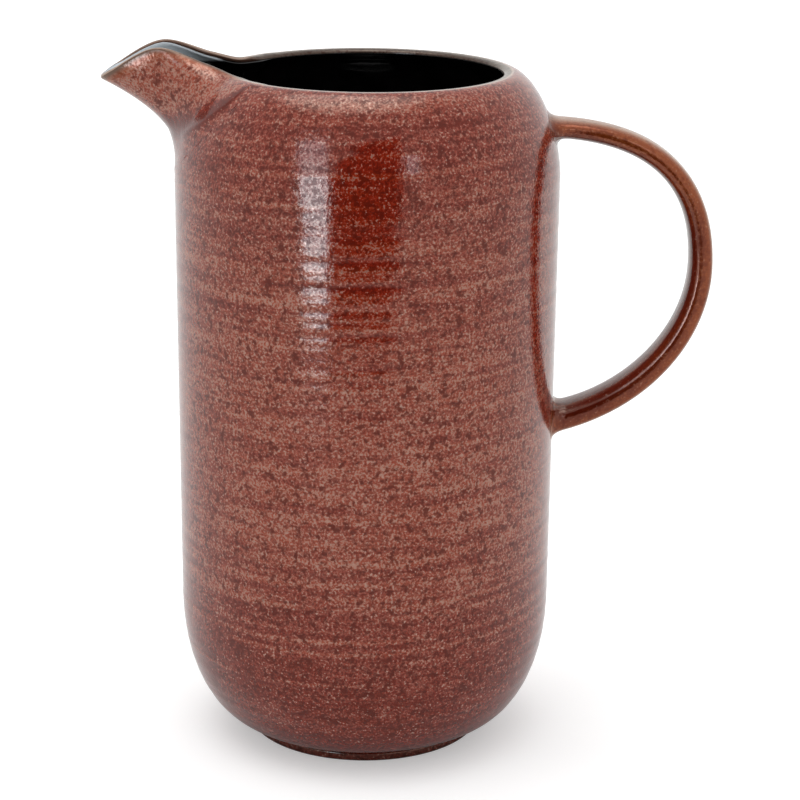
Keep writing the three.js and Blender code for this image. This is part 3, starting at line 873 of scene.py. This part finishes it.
lip_middle = (beak_face[-1] + beak_back[-1]) / 2
to_face = beak_face[-1] - lip_middle
rise = np.cross(to_face, unit(np.gradient(lip_middle, axis=0)))
rise *= np.sign(rise[:, 2:])
over_lip = np.linspace(0, 1, LIP_ROWS)[1:-1, None, None]
half_round = lip_middle + to_face * np.cos(math.pi * over_lip) + rise * np.sin(math.pi * over_lip)
lip_corner = round_axis(lip_turn, RIM_RADIUS - RIM_THICKNESS, beak_face[-1, :, 2])
rim_like = bent(beak_face[-1], lip_corner, beak_back[-1], over_lip)
lip_round = half_round * (1 - like_rim) + rim_like * like_rim
beak_grid = np.concatenate([beak_face, lip_round, beak_back[::-1]])
print("beak wall from", SPOUT_WALL, "mm at the seam to", LIP_THICKNESS, "mm at the lip")

# %% [markdown]
# At each root the beak has no end to see: the potter smeared it out along the rim. So its last loop of
# points is carried on round the rim and sinks slowly into the wall.

# %% Beak mesh
ROOT_RUN = 8
ROOT_TURN = math.radians(10)
ROOT_SINK = 0.5


def run_out(loop, way_round):
    """The root's loop of points carried on round the rim and sunk slowly into the wall."""
    turn = np.arctan2(loop[:, 1], loop[:, 0])
    round_way = np.stack([-np.sin(turn), np.cos(turn), 0 * turn], axis=-1)
    into_wall = unit(np.cross(np.gradient(loop, axis=0), round_way))
    into_wall *= np.sign(np.sum(into_wall[0, :2] * -loop[0, :2]))
    loops = []
    for k in range(1, ROOT_RUN + 1):
        angle = -way_round * ROOT_TURN * k / ROOT_RUN
        cos, sin = math.cos(angle), math.sin(angle)
        spin = np.array([[cos, -sin, 0], [sin, cos, 0], [0, 0, 1]])
        loops.append((loop + into_wall * ROOT_SINK * (k / ROOT_RUN) ** 2) @ spin)
    return loops


front = run_out(beak_grid[:, 0], 1)
back = run_out(beak_grid[:, -1], -1)
beak_loops = np.stack(front[::-1] + list(beak_grid.transpose(1, 0, 2)) + back)
beak = skin("beak_spout", beak_loops, cap_rows=True)

# %% [markdown]
# The glaze drew back from the sharp lip, so its colours change within a few millimetres of it, with a pale
# line on top. The crease of the seam is painted deeper, a dark red line of painted shade in its hollow.

# %% Glaze on the beak
LIP_PAINT = 0.7
EDGE_REACH = 5
EDGE_FADE = 1.3
LINE_STARTS = (0.18, 0.3)  # shares of the way over the lip
LINE_ENDS = (0.55, 0.44)
BEAK_POOL = 0.22
BEAK_POOL_FROM = 4.2  # here and in the next line, a row of the grid
BEAK_POOL_FULL = 20
CREASE_SHADE = 1.7
CREASE_ROW = 14.5
CREASE_WIDTH = 4  # in rows

face_rows = len(beak_face)
from_lip = np.linalg.norm(beak_loops[:, :face_rows] - beak_loops[:, face_rows - 1:face_rows], axis=-1)
rim_share = np.concatenate([np.ones(ROOT_RUN), like_rim[:, 0], np.ones(ROOT_RUN)])[:, None]
edge = np.broadcast_to(LIP_PAINT + (RIM_PAINT - LIP_PAINT) * rim_share, beak_loops.shape[:2]).copy()
edge[:, :face_rows] *= np.clip(1 - from_lip / EDGE_REACH, 0, 1) ** EDGE_FADE * (1 - rim_share)
worn = np.zeros(edge.shape)
worn[:, :face_rows] = eased(from_lip, WORN_FROM, WORN_FULL) * rim_share
across_lip = over_lip[:, 0, 0]
line_on_beak = eased(across_lip, *LINE_STARTS) * eased(across_lip, *LINE_ENDS)
line_on_rim = 1 - eased(across_lip, 0, WORN_OVER)
worn[:, face_rows:face_rows + len(across_lip)] = line_on_beak * (1 - rim_share) + line_on_rim * rim_share
row = np.arange(beak_loops.shape[1])
on_beak = eased(row, BEAK_POOL_FROM, BEAK_POOL_FULL)
# Painted shade: a dark red line along the crease of the seam.
crease_shade = CREASE_SHADE * np.exp(-((row - CREASE_ROW) / CREASE_WIDTH) ** 2)
wall_pool = pool_and_shade_at(np.arctan2(beak_loops[..., 1], beak_loops[..., 0]), beak_loops[..., 2])
pool_and_shade = wall_pool * (1 - on_beak) + BEAK_POOL * on_beak + crease_shade
for name, values in (("pool_and_shade", pool_and_shade), ("edge", edge), ("worn", worn)):
    record_on(beak, name, values)
place(beak, "spout", body_glaze)

# %% [markdown]
# ## Handle
# The handle was pulled from a lump of wet clay and bent into a bow. Its middle line is two curves that
# meet at the farthest reach, and both ends go a few millimetres into the wall.

# %% Handle path
HANDLE_REACH = 109.4
HANDLE_TOP = 206.3
HANDLE_MIDDLE = 161.5
HANDLE_BOTTOM = 107.9
HANDLE_BOTTOM_RISE = 4.4
TOP_RUN = 38
BOTTOM_RUN = 29
UPPER_BEND = 27.5
LOWER_BEND = 25.8
EMBED = 4
HANDLE_STATIONS = 260


def cubic(a, b, c, d):
    a, b, c, d = (np.array(p, float) for p in (a, b, c, d))
    t = np.linspace(0, 1, CURVE_POINTS)[:, None]
    return (1 - t) ** 3 * a + 3 * t * (1 - t) ** 2 * b + 3 * t ** 2 * (1 - t) * c + t ** 3 * d


upper = wall_radius(HANDLE_TOP) - EMBED
lower = wall_radius(HANDLE_BOTTOM) - EMBED
bow = np.concatenate([
    cubic((upper, HANDLE_TOP), (upper + TOP_RUN, HANDLE_TOP),
          (HANDLE_REACH, HANDLE_MIDDLE + UPPER_BEND), (HANDLE_REACH, HANDLE_MIDDLE))[:-1],
    cubic((HANDLE_REACH, HANDLE_MIDDLE), (HANDLE_REACH, HANDLE_MIDDLE - LOWER_BEND),
          (lower + BOTTOM_RUN, HANDLE_BOTTOM + HANDLE_BOTTOM_RISE), (lower, HANDLE_BOTTOM)),
])
handle_length = lengths_along(bow)[-1]
along_handle = np.linspace(0, 1, HANDLE_STATIONS)
centre = at_length(bow, along_handle * handle_length)
tangent = unit(np.gradient(centre, axis=0))
outward = np.stack([-tangent[:, 1], tangent[:, 0]], axis=-1)
outward *= np.sign(outward[HANDLE_STATIONS // 2, 0])
print("handle length in mm:", round(handle_length, 1))

# %% [markdown]
# Its section is a soft oval, flatter on the outside, because it was stroked between thumb and fingers. It
# gets thicker towards its lower end and flares where it meets the wall. The red glaze ran thin over the
# outer face and shows a coppery lustre there, so the skin is half metal and its grain is weaker.

# %% Handle mesh
HANDLE_WIDTH = 15
ROOT_WIDTH = 19
ROOT_FLARE_LENGTH = 22
UPPER_THICKNESS = 6
MIDDLE_THICKNESS = 7.8
LOWER_THICKNESS = 9
OUTER_FACE_POWER = 3
INNER_FACE_POWER = 2.5
SECTION_STEPS = 72
STRAP_POOL = 0.45
COPPER_PAINTS = dict(ridge="#7e3410", hollow="#5c1608", iron="#521808", grain="#88401a", glint="#9a623c")
COPPER_SPECKLE = 0.45
COPPER_LUSTRE = 0.5

to_end = np.minimum(along_handle, 1 - along_handle) * handle_length
flare = np.clip(1 - to_end / ROOT_FLARE_LENGTH, 0, None) ** 2
width = HANDLE_WIDTH + (ROOT_WIDTH - HANDLE_WIDTH) * flare
end_thickness = np.where(along_handle < 0.5, UPPER_THICKNESS, LOWER_THICKNESS)
thickness = MIDDLE_THICKNESS + (end_thickness - MIDDLE_THICKNESS) * np.abs(2 * along_handle - 1)
angle = np.linspace(0, 2 * math.pi, SECTION_STEPS, endpoint=False)
power = np.where(np.sin(angle) > 0, OUTER_FACE_POWER, INNER_FACE_POWER)
sideways = np.sign(np.cos(angle)) * np.abs(np.cos(angle)) ** (2 / power)
outer_side = np.sign(np.sin(angle)) * np.abs(np.sin(angle)) ** (2 / power)
offset = outward[:, None] * (outer_side * thickness[:, None] / 2)[..., None]
strap = np.stack([
    centre[:, None, 0] + offset[..., 0],
    sideways * width[:, None] / 2,
    centre[:, None, 1] + offset[..., 1],
], axis=-1)
handle = skin("pulled_handle", strap, cap_rows=True)
strap_pool = STRAP_POOL * (1 - outer_side)
record_on(handle, "pool_and_shade", np.broadcast_to(strap_pool, strap.shape[:2]))
handle_glaze = red_glaze("copper_glaze", COPPER_PAINTS, "y", COPPER_SPECKLE, COPPER_LUSTRE)
place(handle, "handle", handle_glaze)

# %% [markdown]
# ## Luted roots
# Where the handle meets the wall, a roll of soft clay was pressed into the corner and smoothed with a
# finger. It is a hollow fillet that starts on the wall's rings and ends on the strap. Its last row dips
# into the strap, so that no edge shows there, and the glaze's depth blends from the wall's to the strap's.

# %% Roots
COLLAR_SPREAD = 3.2
COLLAR_HEIGHT = 4.5
COLLAR_ROWS = 12
COLLAR_SINK = 0.9
COLLAR_TAIL = 1.2
COLLAR_TAIL_SINK = 0.15
ROOT_STATIONS = 80


def root_collar(name, node, lines, root_height):
    """A fillet round one end of the strap, whose lines run out from inside the wall."""
    section_centre = np.array((wall_radius(root_height), 0, root_height))
    beyond = np.hypot(lines[..., 0], lines[..., 1]) - wall_radius(lines[..., 2])
    first = np.argmax(beyond > 0, axis=0)
    around = np.arange(lines.shape[1])
    step = np.linalg.norm(lines[1] - lines[0], axis=-1).mean()
    meet = lines[first, around]
    on_strap = lines[first + round(COLLAR_HEIGHT / step), around]
    spread = meet + unit(meet - section_centre) * COLLAR_SPREAD
    on_body = on_wall(np.arctan2(spread[:, 1], spread[:, 0]), spread[:, 2])
    fillet = bent(on_body, meet, on_strap, np.linspace(0, 1, COLLAR_ROWS)[:, None, None])
    tail = lines[first + round((COLLAR_HEIGHT + COLLAR_TAIL) / step), around]
    sunk = tail - unit(on_strap - on_strap.mean(axis=0)) * COLLAR_TAIL_SINK
    buried = meet + unit(section_centre - meet) * COLLAR_SINK - (COLLAR_SINK, 0, 0)
    piece = skin(name, np.concatenate([fillet, sunk[None], buried[None]]), close_rows=True)
    up = np.concatenate([np.linspace(0, 1, COLLAR_ROWS), [1, 0]])[:, None]
    body_pool = pool_and_shade_at(np.arctan2(on_body[:, 1], on_body[:, 0]), on_body[:, 2])
    record_on(piece, "pool_and_shade", body_pool * (1 - up) + strap_pool * up)
    place(piece, node, handle_glaze)


root_collar("upper_root_fillet", "upper_handle_joint", strap[:ROOT_STATIONS], HANDLE_TOP)
root_collar("lower_root_fillet", "lower_handle_joint", strap[::-1][:ROOT_STATIONS], HANDLE_BOTTOM)

# %% [markdown]
# ## Black glaze
# A glassy black glaze, made with iron, cobalt and manganese, gives the eye nearly nothing but its mirror
# image. Its blackness is slightly clouded and its skin has soft ripples. Along the beak's upper edge it is
# painted a pale grey, a painted reflection of the white room at a grazing angle.

# %% Black glaze
BLACK_CLOUD = 9
RIPPLE = 4
RIPPLE_DEPTH = 0.07
BLACK_GLAZE_IOR = 1.55
SMOOTHEST = 0.05
ROUGHEST = 0.13
CLOUDED = (0.35, 0.7)
ROUGHENED = (0.3, 0.7)
BLACK = "#060506"
CLOUDED_BLACK = "#110f10"
REFLECTION_GREY = "#b2bac0"

liner_glaze, tree = new_material("black_glaze")
where = add(tree, "TexCoord").outputs["Object"]
cloud = add(tree, "TexNoise", Vector=where, Scale=scale_for(BLACK_CLOUD), Detail=4)
colour, _ = painted(tree, BLACK, CLOUDED_BLACK, cloud, *CLOUDED)
# Painted reflection: pale grey where the lining nears the beak's lip.
colour, _ = painted(tree, colour, REFLECTION_GREY, carried(tree, "thin"), 0, 1)
rough = add(tree, "MapRange", Value=cloud, From_Min=ROUGHENED[0], From_Max=ROUGHENED[1],
            To_Min=SMOOTHEST, To_Max=ROUGHEST)
ripple = add(tree, "TexNoise", Vector=where, Scale=scale_for(RIPPLE), Detail=2)
bump = add(tree, "Bump", Height=ripple, Strength=1, Distance=RIPPLE_DEPTH * MM)
shader = add(tree, "BsdfPrincipled", Base_Color=colour, IOR=BLACK_GLAZE_IOR, Roughness=rough, Normal=bump)
add(tree, "OutputMaterial", Surface=shader)
print("black glaze: clouds of", BLACK_CLOUD, "mm and ripples of", RIPPLE, "mm")

# %% [markdown]
# ## Liner
# The potter filled the jug with black glaze and emptied it again, which leaves an even coat that thins out
# just below the rim. It is a skin of its own over the inside: one face against the clay and one a coat's
# thickness in from it.

# %% Liner
GLAZE = 0.7
GLAZE_SEAT = 0.05
FEATHER = 12  # the coat is full after one part of this many on the way down
FEATHER_LEAST = 0.15

liner_start = np.maximum(inner_length_at(RIM_ROUNDING), inner_start)
down = np.linspace(0, 1, INSIDE_ROWS)[:, None]
liner_rows = liner_start + down * (in_length[-1] - liner_start)
liner_radius = np.interp(liner_rows, in_length, inside[:, 0])
liner_height = np.interp(liner_rows, in_length, inside[:, 1])
slope = unit(np.stack([np.gradient(liner_radius, axis=0), np.gradient(liner_height, axis=0)], axis=-1))


def off_clay(coat):
    """The inside of the clay moved inwards by a coat's thickness."""
    return round_axis(turn, liner_radius + coat * slope[..., 1], liner_height - coat * slope[..., 0])


liner_face = off_clay(GLAZE * np.clip(down * FEATHER, FEATHER_LEAST, 1))
liner_seat = off_clay(-GLAZE_SEAT)
liner = skin("black_liner", np.concatenate([liner_seat[::-1], liner_face]), cap_rows=True)
place(liner, "liner_glaze", liner_glaze)

# %% [markdown]
# ## Lining of the beak
# The same glaze was poured out through the notch and coats the inside of the beak up to its lip. The
# lining starts on the liner, bends out through the throat and follows the beak's wall. It is painted grey
# as a painted reflection of the white room: above the rim at the sides, and within a few millimetres of
# the lip at the tip.

# %% Beak lining
THROAT_DROP = 8
THROAT_ROWS = 14
THROAT_END = 4  # row of the channel where the throat ends
THROAT_INSET = 0.3
THROAT_DEPTH = 1.5
LINING_SINK = 0.5
LINING_SINKS_FROM = 0.9  # share of the way to the root
PALE_DEPTH = 3
TIP_PART = 0.3  # share of the way from the tip to the root
PALE_FROM = -0.4  # height over the pale line
PALE_FULL = 0.6

lip_start = lip_round[-1] * (1 - like_rim) + beak_back[-1] * like_rim
channel = np.concatenate([beak_back[:-1], lip_start[None]])
into = unit(np.cross(np.gradient(channel, axis=1), np.gradient(channel, axis=0)))
channel_face = channel + into * (GLAZE - LINING_SINK * eased(toward_root, LINING_SINKS_FROM, 1))
channel_turn = np.arctan2(channel[0, :, 1], channel[0, :, 0])
high = channel[0, :, 2]
low = high - THROAT_DROP
throat_corner = round_axis(channel_turn, inner_radius_at(high) - GLAZE, high)
throat_start = round_axis(channel_turn, inner_radius_at(low) - GLAZE + THROAT_INSET, low)
up_throat = np.linspace(0, 1, THROAT_ROWS)[:, None, None]
throat = bent(throat_start, throat_corner, channel_face[THROAT_END], up_throat)
lining_face = np.concatenate([throat, channel_face[THROAT_END + 1:]])
lining_back = np.concatenate([throat - (0, 0, THROAT_DEPTH), channel[THROAT_END + 1:]])
lining = skin("black_beak_lining", np.concatenate([lining_face, lining_back[::-1]]), close_rows=True,
              close_columns=False, cap_columns=True)
pale_height = np.full(BEAK_STATIONS, RIM_HEIGHT)
at_tip = toward_root[:, 0] < TIP_PART
pale_height[at_tip] = np.minimum(RIM_HEIGHT, lip[at_tip, 2] - PALE_DEPTH)
# Painted reflection: where the lining is painted grey for the white room mirrored near the lip.
thin = eased(lining_face[..., 2] - pale_height, PALE_FROM, PALE_FULL)
record_on(lining, "thin", np.concatenate([thin, thin[::-1]]))
place(lining, "spout_glaze", liner_glaze)
